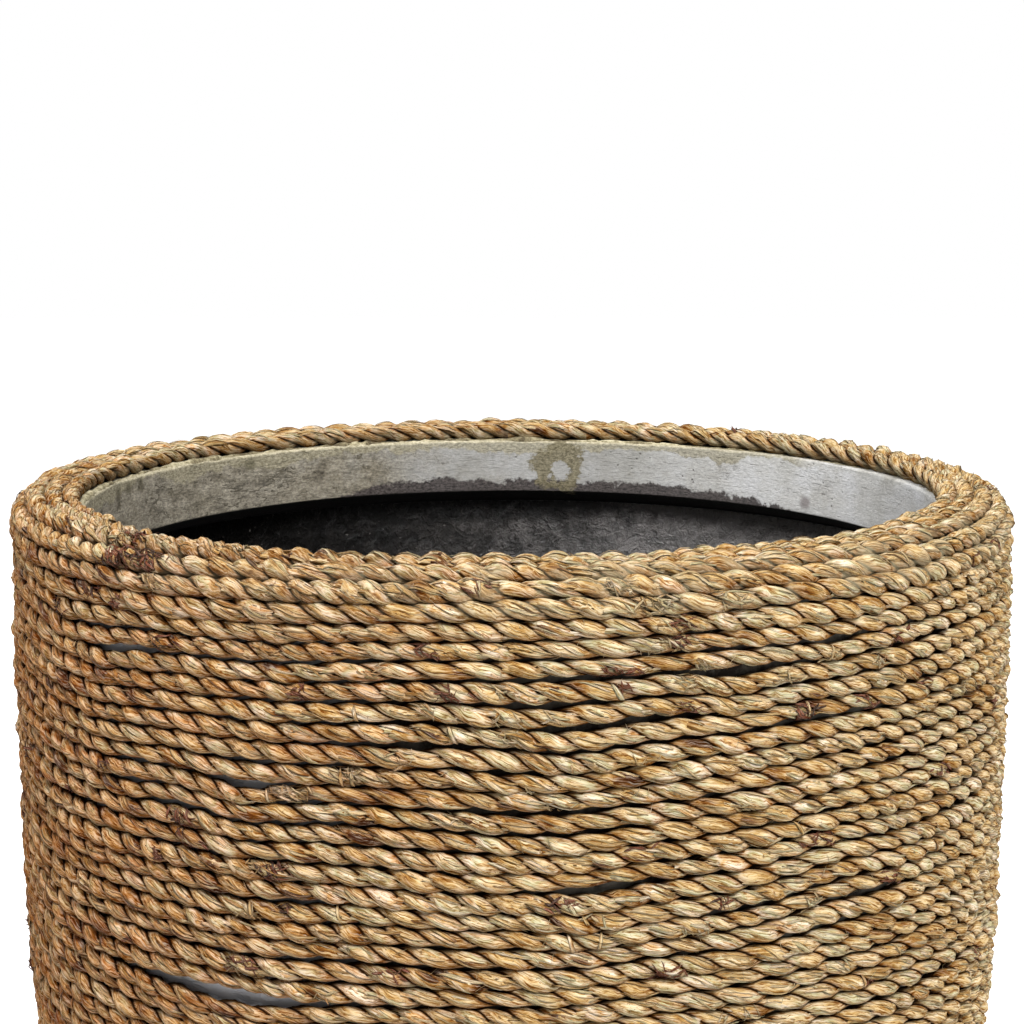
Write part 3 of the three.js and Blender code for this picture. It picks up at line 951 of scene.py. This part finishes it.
def cast_cement():
    """Cast fibre cement: matt, mottled grey, with level scratches, pinholes and stains."""
    material, add = new_tree(bpy.data.materials, "cast_fibre_cement")
    uv = add("UVMap", uv_map="UVMap")
    place = add("TexCoord", out=3)
    right, back, height = [add("SeparateXYZ", place, out=axis) for axis in range(3)]
    radius = from_axis(add, place)
    mottle, ragged, fine_ragged, chip, pin_share, thick_glue = [
        add("TexNoise", place, Scale=cells, Detail=detail, Roughness=roughness)
        for cells, detail, roughness in CEMENT_PATTERNS
    ]
    blotch, grain, crack, level, slanting = [
        add("TexNoise", add("Mapping", uv, Scale=(cells, down, 1), Rotation=(0, 0, turn)),
            Scale=1.0, Detail=detail, Roughness=roughness)
        for cells, down, turn, detail, roughness in DRAWN_OUT
    ]
    greys = [(0.30, "#b4b3ae"), (0.45, "#c6c5c2"), (0.58, "#d0d0d0"), (0.72, "#d8d8da")]
    base = add("ValToRGB", mottle, stops=greys)

    # Painted shade: the back and the left of the lip are darker than the right.
    left_lip_shade = add("MapRange", right, 0.19, 0.05, 0, 0.95)
    # A brown-grey film of old glue, heavy on the left, with a ragged edge.
    film = add("ADD", ragged, add("MapRange", right, 0, -0.17, 0, 0.62))
    film = add("MapRange", film, 0.55, 0.95, 0, 0.8)
    browns = [(0.36, "#453b24"), (0.48, "#766d5a"), (0.66, "#9c9482")]
    film_colour = add("ValToRGB", blotch, stops=browns)
    # Sandy grain, a little drawn out by the trowel, more of it in the film on the left.
    grain_low = add("MapRange", film, 0, 0.6, 0.88, 0.54)
    grain_high = add("MapRange", film, 0, 0.6, 1.14, 1.34)
    grain_tone = add("MapRange", grain, 0.38, 0.62, grain_low, grain_high)

    # Chips 2 to 6 mm wide and thin cracks, most of them in the film.
    chip = add("MapRange", chip, 0.61, 0.68, 0, 0.75)
    crack = add("MapRange", add("ABSOLUTE", add("SUBTRACT", crack, 0.5)), 0.012, 0, 0, 0.9)
    crack = add("MULTIPLY", crack, add("MapRange", mottle, 0.5, 0.56))
    chip = add("MULTIPLY", add("MAXIMUM", chip, crack), add("MapRange", film, 0, 0.6, 0.12, 1))
    # Scratches: noise drawn out about 25 to 1, level, and a slanting set. Only its peaks count.
    scratch = add("MapRange", add("MAXIMUM", level, slanting), 0.6, 0.72, 0, 0.5)
    pin = add("MapRange", add("TexVoronoi", place, Scale=260), 0.2, 0.06, 0, 0.8)
    pin = add("MULTIPLY", pin, add("MapRange", pin_share, 0.5, 0.64))

    # Along the top edge runs a band of old glue that ends raggedly a few millimetres down. It
    # is thick over the left half and at the right of the back, and grey shows through it.
    wavy = add("MULTIPLY_ADD", fine_ragged, 0.016, add("MULTIPLY_ADD", ragged, 0.012, height))
    thick_glue = add("MapRange", thick_glue, 0.35, 0.65, -5 * MM, 6 * MM)
    band = add("ADD", wavy, thick_glue)
    band = add("MapRange", band, POT_HEIGHT + 7.5 * MM, POT_HEIGHT + 9 * MM, 0, 0.75)
    band = add("MULTIPLY", band, add("MapRange", right, 0.17, 0.155, 0.1, 1))
    band_colour = add("ValToRGB", grain, stops=[(0.40, "#6d6650"), (0.60, "#a39c84")])
    rim = add("MULTIPLY_ADD", fine_ragged, 0.005, height)
    rim = add("MapRange", rim, POT_HEIGHT + 1 * MM, POT_HEIGHT + 2 * MM, 0, 0.75)
    rim = add("MULTIPLY", rim, add("MapRange", right, 0.15, 0.1, 0.15, 1))
    rim_colour = add("ValToRGB", grain, stops=[(0.38, "#8d8469"), (0.60, "#c3baa0")])

    # The sealer laps raggedly over the lip's lower edge, but not at the left and the right.
    # Under the lip all is sealed.
    lap = add("MapRange", right, -0.12, -0.08, 8 * MM, -1 * MM)
    lap = add("ADD", wavy, add("ADD", lap, add("MapRange", right, 0.12, 0.17, 0, 9 * MM)))
    lap = add("MapRange", lap, LIP_BOTTOM + 21 * MM, LIP_BOTTOM + 19.5 * MM, 0, 0.95)
    lap_colour = add("ValToRGB", grain, stops=[(0.38, "#161110"), (0.64, "#554d4b")])
    under = add("MapRange", height, LIP_BOTTOM + 1.2 * MM, LIP_BOTTOM + 0.6 * MM)
    layers = [
        (left_lip_shade, "#bab9b6", "MULTIPLY"),
        (film, film_colour),
        (1.0, grain_tone, "MULTIPLY"),
        (chip, "#4c4638"),
        (scratch, "#5d5850"),
        (pin, "#47433c"),
        (band, band_colour),
        (rim, rim_colour),
        (lap, lap_colour),
        (under, "#0a0807"),
    ]
    # A rusty spot on the right, and olive ones under the top edge on the left.
    for spot_place, spot_colour in SPOTS:
        spot = add("VectorMath", place, spot_place, out=1, operation="DISTANCE")
        spot = add("MULTIPLY_ADD", fine_ragged, 8 * MM, spot)
        layers.append((add("MapRange", spot, 9 * MM, 6 * MM, 0, 0.7), spot_colour))

    # One olive stain in the shape of a ring, at the back of the lip.
    off_x = add("DIVIDE", add("SUBTRACT", right, STAIN_RIGHT), STAIN_RADIUS)
    off_z = add("DIVIDE", add("SUBTRACT", height, STAIN_HEIGHT), STAIN_RADIUS)
    ring = add("VectorMath", add("CombineXYZ", off_x, off_z, 0), out=1, operation="LENGTH")
    ring = add("MULTIPLY_ADD", fine_ragged, 2.4, ring)
    inner = add("MapRange", add("MULTIPLY_ADD", off_z, 0.5, ring), 1.45, 1.6)
    outer = add("MapRange", ring, 2.3, 2.5, 1, 0)
    stain = add("MULTIPLY", add("MULTIPLY", inner, outer), add("MapRange", back, 0.1, 0.12, 0, 0.93))
    stain_colour = add("ValToRGB", grain, stops=[(0.42, "#544d38"), (0.6, "#847c64")])

    # Under and behind the rope the cement is dark: partly glue, partly painted shade for the gaps
    # between the rows. Low on the left, where wide gaps show it, it is pale bare cement.
    glue_and_gap_shade = add("MapRange", radius, MOUTH_RADIUS + 3.4 * MM, MOUTH_RADIUS + 5 * MM, 0, 0.95)
    on_wall = add("MapRange", height, POT_HEIGHT - 3 * MM, POT_HEIGHT - 1 * MM, 1, 0.6)
    outside = add("MapRange", radius, POT_RADIUS - 9 * MM, POT_RADIUS - 7 * MM)
    outside = add("MAXIMUM", outside, add("SUBTRACT", 1, under))
    glue_and_gap_shade = add("MULTIPLY", add("MULTIPLY", glue_and_gap_shade, on_wall), outside)
    glue = add("ValToRGB", mottle, stops=[(0.42, "#1f160e"), (0.56, "#6f6a60")])
    bare = add("MapRange", height, POT_HEIGHT - 12 * MM, POT_HEIGHT - 20 * MM)
    bare = add("MULTIPLY", bare, add("MapRange", right, -0.05, -0.07, 0, 0.9))
    glue = add("Mix", bare, sockets={6: glue, 7: "#d6d6da"}, out=2, data_type="RGBA")
    layers += [(stain, stain_colour), (glue_and_gap_shade, glue)]

    reliefs = [(ragged, 0.9), (scratch, -0.4), (blotch, 0.7), (grain, 0.35), (pin, -0.5), (chip, -0.7)]
    surface(add, base, layers, reliefs, 0.9, 1.5, 0.3, strength=0.9)
    return material


cement_material = cast_cement()

# %% [markdown]
# ## The pot and its coating
#
# Both are turned shapes: an outline of radius and height, carried round the axis. A cast
# surface isn't perfectly round, so a few low waves move it. The coating is brushed on
# thickly, so its lumps are in the mesh: many short waves added up, then pressed flat on top.

# %% Turned surfaces


def stretch(points, step):
    """An outline with points added so that none are further apart than step."""
    points = np.asarray(points, float)
    gaps = np.linalg.norm(np.diff(points, axis=0), axis=1)
    travelled = np.concatenate([[0], np.cumsum(gaps)])
    stops = [np.linspace(a, b, max(int(np.ceil((b - a) / step)), 1) + 1)[:-1]
             for a, b in zip(travelled[:-1], travelled[1:])]
    stops = np.concatenate([*stops, [travelled[-1]]])
    return np.stack([np.interp(stops, travelled, points[:, i]) for i in (0, 1)], -1), stops


def arc(centre, radius, start, end, steps):
    """Points on a round stretch of an outline, angles in degrees."""
    angles = np.radians(np.linspace(start, end, steps + 1))
    return [(centre[0] + radius * np.cos(a), centre[1] + radius * np.sin(a)) for a in angles]


def wall_angle(inset, height):
    """Angle in degrees, below the start of the wall's arc, at which it reaches a height."""
    return -math.degrees(math.asin((curve_top - height) / (CURVE_RADIUS - inset)))


CORNER_INSET = 6 * MM  # of the floor's corner from the foot of the wall


def inside_outline(inset, floor, top):
    """The inside from the middle of the floor up the wall to a height. The corner between
    them goes from a by b to c as (1 - s)(1 - s) a + 2 s (1 - s) b + s s c."""
    fillet_top = floor + FLOOR_FILLET
    low = wall_angle(inset, fillet_top)
    radius = CURVE_RADIUS - inset
    wall_foot = curve_centre + radius * math.cos(math.radians(low))
    a = np.array((wall_foot - FLOOR_FILLET - CORNER_INSET, floor))
    b = np.array((wall_foot - CORNER_INSET, floor))
    c = np.array((wall_foot, fillet_top))
    s = np.linspace(0, 1, 9)[:-1, None]
    fillet = (1 - s) ** 2 * a + 2 * s * (1 - s) * b + s**2 * c
    return [
        (0, floor),
        *map(tuple, fillet),
        *arc((curve_centre, curve_top), radius, low, 0, 30),
        (POT_RADIUS - inset, top),
    ]


def turn_outline(name, outline, step, count, move, material, slot, node):
    """Carries an outline that starts and ends on the axis round it. move shifts the points
    along the outline's normal by a function of azimuth, radius, height and way travelled."""
    profile, travelled = stretch(outline, step)
    inner = profile[1:-1]
    tangent = np.gradient(profile, axis=0)[1:-1]
    tangent /= np.linalg.norm(tangent, axis=1, keepdims=True)
    azimuth = np.arange(count) * 2 * np.pi / count
    shift_out = move(azimuth[None, :], inner[:, :1], inner[:, 1:], travelled[1:-1, None])
    ring = inner[:, :1] + tangent[:, 1:] * shift_out
    height = inner[:, 1:] - tangent[:, :1] * shift_out
    points = np.stack([ring * np.sin(azimuth), -ring * np.cos(azimuth), height], -1)
    poles = [[0, 0, profile[0, 1]], [0, 0, profile[-1, 1]]]
    points = np.concatenate([points.reshape(-1, 3), poles])
    row = np.arange(len(inner) - 1)[:, None] * count
    here = np.arange(count)
    after = (here + 1) % count
    quads = np.stack([row + here, row + after, row + count + after, row + count + here], -1)
    low_pole = len(inner) * count
    last_row = low_pole - count
    fans = [(np.full(count, low_pole), after, here),
            (np.full(count, low_pole + 1), last_row + here, last_row + after)]
    fans = np.concatenate([np.stack(fan, -1) for fan in fans])
    u = np.arange(count + 1) * 2 * np.pi * POT_RADIUS / count
    quad_uv = quad_uvs(u[:-1], u[1:], travelled[1:-2, None], travelled[2:-1, None])
    fan_u = np.tile(np.stack([u[:-1], u[1:], u[:-1]], -1), (2, 1))
    fan_v = np.repeat([travelled[0], travelled[-1]], count)[:, None]
    fan_uv = np.stack(np.broadcast_arrays(fan_u, fan_v), -1)
    make_piece(name, points, [quads.reshape(-1, 4), fans], [quad_uv, fan_uv], material, slot, node)


def gentle_waves(azimuth, radius, height, travelled):
    """Three low waves round the pot, up to 0.5 mm together, and none near its axis."""
    return MM * (
        0.25 * np.sin(3 * azimuth + 1 + 20 * height)
        + 0.15 * np.sin(7 * azimuth + 2 - 30 * height)
        + 0.10 * np.sin(13 * azimuth + 55 * height)
    ) * smooth_step(radius, 0.05, 0.15)


POT_CORNER = 6 * MM
LIP_EDGE = 1.6 * MM
POT_STEP = 8 * MM
POT_SIDES = 216
base_low = wall_angle(0, BASE_CHAMFER)
base_radius = curve_centre + CURVE_RADIUS * math.cos(math.radians(base_low))
pot_outline = [
    (0, 0),
    (base_radius - BASE_CHAMFER, 0),
    *arc((curve_centre, curve_top), CURVE_RADIUS, base_low, 0, 30),
    *arc((POT_RADIUS - POT_CORNER, POT_HEIGHT - POT_CORNER), POT_CORNER, 0, 90, 6),
    *arc((MOUTH_RADIUS + LIP_EDGE, POT_HEIGHT - LIP_EDGE), LIP_EDGE, 90, 180, 5),
    *arc((MOUTH_RADIUS + LIP_EDGE, LIP_BOTTOM + LIP_EDGE), LIP_EDGE, 180, 240, 4),
    *inside_outline(WALL, FLOOR, LIP_BOTTOM - LIP_UNDERSIDE)[::-1],
]
turn_outline("cast_cement_pot", pot_outline, POT_STEP, POT_SIDES, gentle_waves, cement_material,
             "cement", "cement_pot")

# %% Coating material


def brushed_sealer():
    """Bitumen-like sealer: black, brushed on thickly, satin where it ran smooth."""
    material, add = new_tree(bpy.data.materials, "brushed_black_sealer")
    place = add("TexCoord", out=3)
    right = add("SeparateXYZ", place)
    height = add("SeparateXYZ", place, out=2)
    coarse = add("TexNoise", place, Scale=85, Detail=7, Roughness=0.75)
    fine = add("TexNoise", place, Scale=380, Detail=4, Roughness=0.6)

    # Lighter on the right and black on the left: partly cement dust, partly painted light and
    # shade for how the inside is lit.
    side = add("TexNoise", place, Scale=9, Detail=3)
    side = add("MULTIPLY_ADD", side, 0.12, add("SUBTRACT", right, 0.06))
    dust_and_painted_light = add("ADD", coarse, add("MapRange", side, -0.19, 0.15, -0.27, 0.38))
    # Painted light and shade just under the lip: darker on the left and in the middle, lighter
    # on the right.
    light_and_shade_under_lip = add("MapRange", right, 0.03, 0.1, -0.4, 0.3)
    light_and_shade_under_lip = add("MapRange", height, LIP_BOTTOM - 22 * MM, LIP_BOTTOM - 8 * MM, 0, light_and_shade_under_lip)
    blacks = [(0.26, "#080706"), (0.42, "#1b1918"), (0.58, "#312e2c"), (0.78, "#726e6c")]
    base = add("ValToRGB", add("ADD", dust_and_painted_light, light_and_shade_under_lip), stops=blacks)

    # Crumbs of cement that the brush dragged along.
    crumb = add("TexNoise", place, Scale=420, Detail=1)
    crumb = add("MapRange", crumb, 0.73, 0.79, 0, 0.5)
    # Thin curved edges that the brush pushed up, grey on top: partly rubbed dust, partly painted
    # highlights, most of them on the right.
    vein = add("TexNoise", place, Scale=95, Detail=4, Distortion=0.2)
    vein = add("MapRange", add("ABSOLUTE", add("SUBTRACT", vein, 0.5)), 0.03, 0)
    rubbed_dust_and_highlight = add("MULTIPLY", vein, add("MapRange", coarse, 0.4, 0.55, 0, 0.35))
    rubbed_dust_and_highlight = add("MULTIPLY", rubbed_dust_and_highlight, add("MapRange", side, -0.15, 0.1, 0.1, 1))
    # Brush ridges slant down to the right.
    ridge = add("Mapping", place, Rotation=(0, 0.7, 0), Scale=(30, 45, 130))
    ridge = add("TexNoise", ridge, Scale=1, Detail=5, noise_type="RIDGED_MULTIFRACTAL")

    layers = [(crumb, "#8a8580"), (rubbed_dust_and_highlight, "#7d7874")]
    reliefs = [(fine, 3.2), (coarse, 7.0), (ridge, 2.4), (vein, 1.4)]
    rough = add("MapRange", fine, 0.3, 0.7, 0.26, 0.5)
    surface(add, base, layers, reliefs, rough, 1.5, add("MapRange", right, -0.15, 0.05, 0.05, 0.9))
    return material


sealer_material = brushed_sealer()

LUMPS = 64
LUMP_HEIGHT = 1.4 * MM
MOST_TURNS = 155  # swings of a wave round the pot, each 8 mm long
COATING_GAP = 0.3 * MM  # between its hidden side and the cement
HIDDEN_STEP, WALL_STEP, FLOOR_STEP, COATING_STEP = 20 * MM, 3.4 * MM, 9 * MM, 25 * MM
COATING_SIDES = 480
WALL_POINTS = 32  # of the open side, from its top down to the round corner at the floor

wave_rng = np.random.default_rng(31)
lump_turns = wave_rng.integers(-MOST_TURNS, MOST_TURNS, LUMPS)
lump_climb = wave_rng.uniform(80, 600, LUMPS) * wave_rng.choice([-1, 1], LUMPS)
lump_phase = wave_rng.uniform(0, 2 * np.pi, LUMPS)

coating_top = LIP_BOTTOM - LIP_UNDERSIDE - COATING_GAP
hidden_side = inside_outline(WALL + COATING_GAP, FLOOR + COATING_GAP, coating_top)
hidden_side, hidden_way = stretch(hidden_side, HIDDEN_STEP)
open_side = inside_outline(WALL + COATING, FLOOR + COATING, coating_top)[::-1]
open_wall = stretch(open_side[:WALL_POINTS], WALL_STEP)[0]
open_floor = stretch(open_side[WALL_POINTS - 1 :], FLOOR_STEP)[0][1:]
coating_outline = np.concatenate([hidden_side, open_wall, open_floor])


def brushed_lumps(azimuth, radius, height, travelled):
    """Waves from 6 to 80 mm long, added up, with the tops pressed flat by tanh, only on the
    side of the coating that faces the inside of the pot."""
    waves = zip(lump_turns, lump_climb, lump_phase)
    along_wall = height - radius
    total = sum(np.cos(turns * azimuth + climb * along_wall + phase) for turns, climb, phase in waves)
    lumps = -LUMP_HEIGHT * np.tanh(1.6 * (total / math.sqrt(LUMPS)))
    return lumps * smooth_step(radius, 0.04, 0.12) * (travelled > hidden_way[-1])


turn_outline("brushed_coating", coating_outline, COATING_STEP, COATING_SIDES, brushed_lumps,
             sealer_material, "sealer", "waterproof_coating")

# %% [markdown]
# ## The bead of glue
#
# The innermost row sits in a bead of pale wood glue that was pressed out along the mouth. It
# is a lumpy tube, half sunk between the rope and the lip.

# %% Glue bead


def dried_glue():
    """Dried wood glue: pale beige and rough, with dust in it."""
    material, add = new_tree(bpy.data.materials, "dried_wood_glue")
    place = add("TexCoord", out=3)
    dust = add("TexNoise", place, Scale=350, Detail=5, Roughness=0.75)
    tone = add("MULTIPLY", dust, add("TexNoise", place, Scale=40, Detail=3))
    base = add("ValToRGB", tone, stops=[(0.16, "#4d4330"), (0.24, "#857b5f"), (0.34, "#bcb395")])
    surface(add, base, [], [(dust, 1.0)], 0.8, 1.48, 0.3)
    return material


BEAD_RADIUS = 1.4 * MM
BEAD_INSET = 4.0 * MM  # from the middle of the rope towards the mouth
BEAD_RINGS = 900
BEAD_SIDES = 8

bead_turns = np.linspace(0.004, 0.84, BEAD_RINGS)
bead_lumps = 1 + 0.5 * drift(bead_turns, 0.0028, 51) + 0.45 * drift(bead_turns, 0.02, 52)
bead_lumps *= np.interp(bead_turns, [0.38, 0.44, 0.84], [1.0, 0.45, 0.3])
bead_azimuth = (START_AZIMUTH - 2 * np.pi * bead_turns)[:, None]
bead_around = np.linspace(0, 2 * np.pi, BEAD_SIDES + 1)
bead_reach = BEAD_RADIUS * bead_lumps[:, None]
bead_ring = start_radius - BEAD_INSET + bead_reach * np.cos(bead_around[:-1])
bead_height = POT_HEIGHT - 0.2 * MM + bead_reach * np.sin(bead_around[:-1])
bead_points = [bead_ring * np.sin(bead_azimuth), -bead_ring * np.cos(bead_azimuth), bead_height]
bead_points = np.stack(bead_points, -1).reshape(-1, 3)
bead_u = bead_turns[None, :] * 2 * np.pi * MOUTH_RADIUS
faces, uvs = tube_faces(BEAD_RINGS, BEAD_SIDES, bead_u, bead_around / (2 * np.pi))
make_piece("glue_bead", bead_points, faces, uvs, dried_glue(), "cement")

# %% [markdown]
# ## Floor, backdrop and light
#
# The planter stands on a pale floor in front of a white world. The floor glows a little for
# the camera alone, so that it reads white and still keeps the shadow.

# %% Stage and light


def seen_directly(add):
    """1 for rays from the camera, straight or off a shiny or clear surface, and 0 for light."""
    seen = add("LightPath", out="Is Camera Ray")
    for ray in ("Is Glossy Ray", "Is Transmission Ray"):
        seen = add("MAXIMUM", seen, add("LightPath", out=ray))
    return seen


FLOOR_GLOW = 0.8
floor_material, add = new_tree(bpy.data.materials, "matt_white_studio_floor")
glow = add("Emission", "#ffffff", add("MULTIPLY", seen_directly(add), FLOOR_GLOW))
add("OutputMaterial", add("AddShader", add("BsdfDiffuse", "#e4e4e4"), glow))

HALF_FLOOR = 8.0
floor_mesh = bpy.data.meshes.new("studio_floor")
corners = [(x * HALF_FLOOR, y * HALF_FLOOR, 0) for x, y in ((-1, -1), (1, -1), (1, 1), (-1, 1))]
floor_mesh.from_pydata(corners, [], [(0, 1, 2, 3)])
floor_mesh.materials.append(floor_material)
new_object("studio_floor", floor_mesh)

WORLD_LIGHT = 0.27
world, add = new_tree(bpy.data.worlds, "studio")
bpy.context.scene.world = world
strength = add("MULTIPLY_ADD", seen_directly(add), 1 - WORLD_LIGHT, WORLD_LIGHT)
add("OutputWorld", add("Background", "#ffffff", strength))


def soft_lamp(name, place, aim, size, power):
    """A square lamp at a place, turned towards aim."""
    data = bpy.data.lights.new(name, "AREA")
    data.size = size
    data.energy = power
    lamp = new_object(name, data)
    lamp.location = place
    lamp.visible_camera = False
    east, north, up = [b - a for a, b in zip(place, aim)]
    lamp.rotation_euler = (math.atan2(math.hypot(east, north), -up), 0, math.atan2(-east, north))


soft_lamp("key_lamp", (0.45, -1.7, 2.4), (0, 0, 0.3), 1.0, 114)
soft_lamp("high_left_lamp", (-1.2, -0.5, 2.2), (0, 0, 0.35), 0.8, 36)
soft_lamp("low_right_lamp", (1.9, -0.9, 0.45), (0, 0, 0.3), 1.0, 14)
soft_lamp("low_back_lamp", (-0.6, 2.1, 0.35), (0, 0, 0.2), 0.5, 26)

bpy.context.scene.view_settings.view_transform = "Standard"
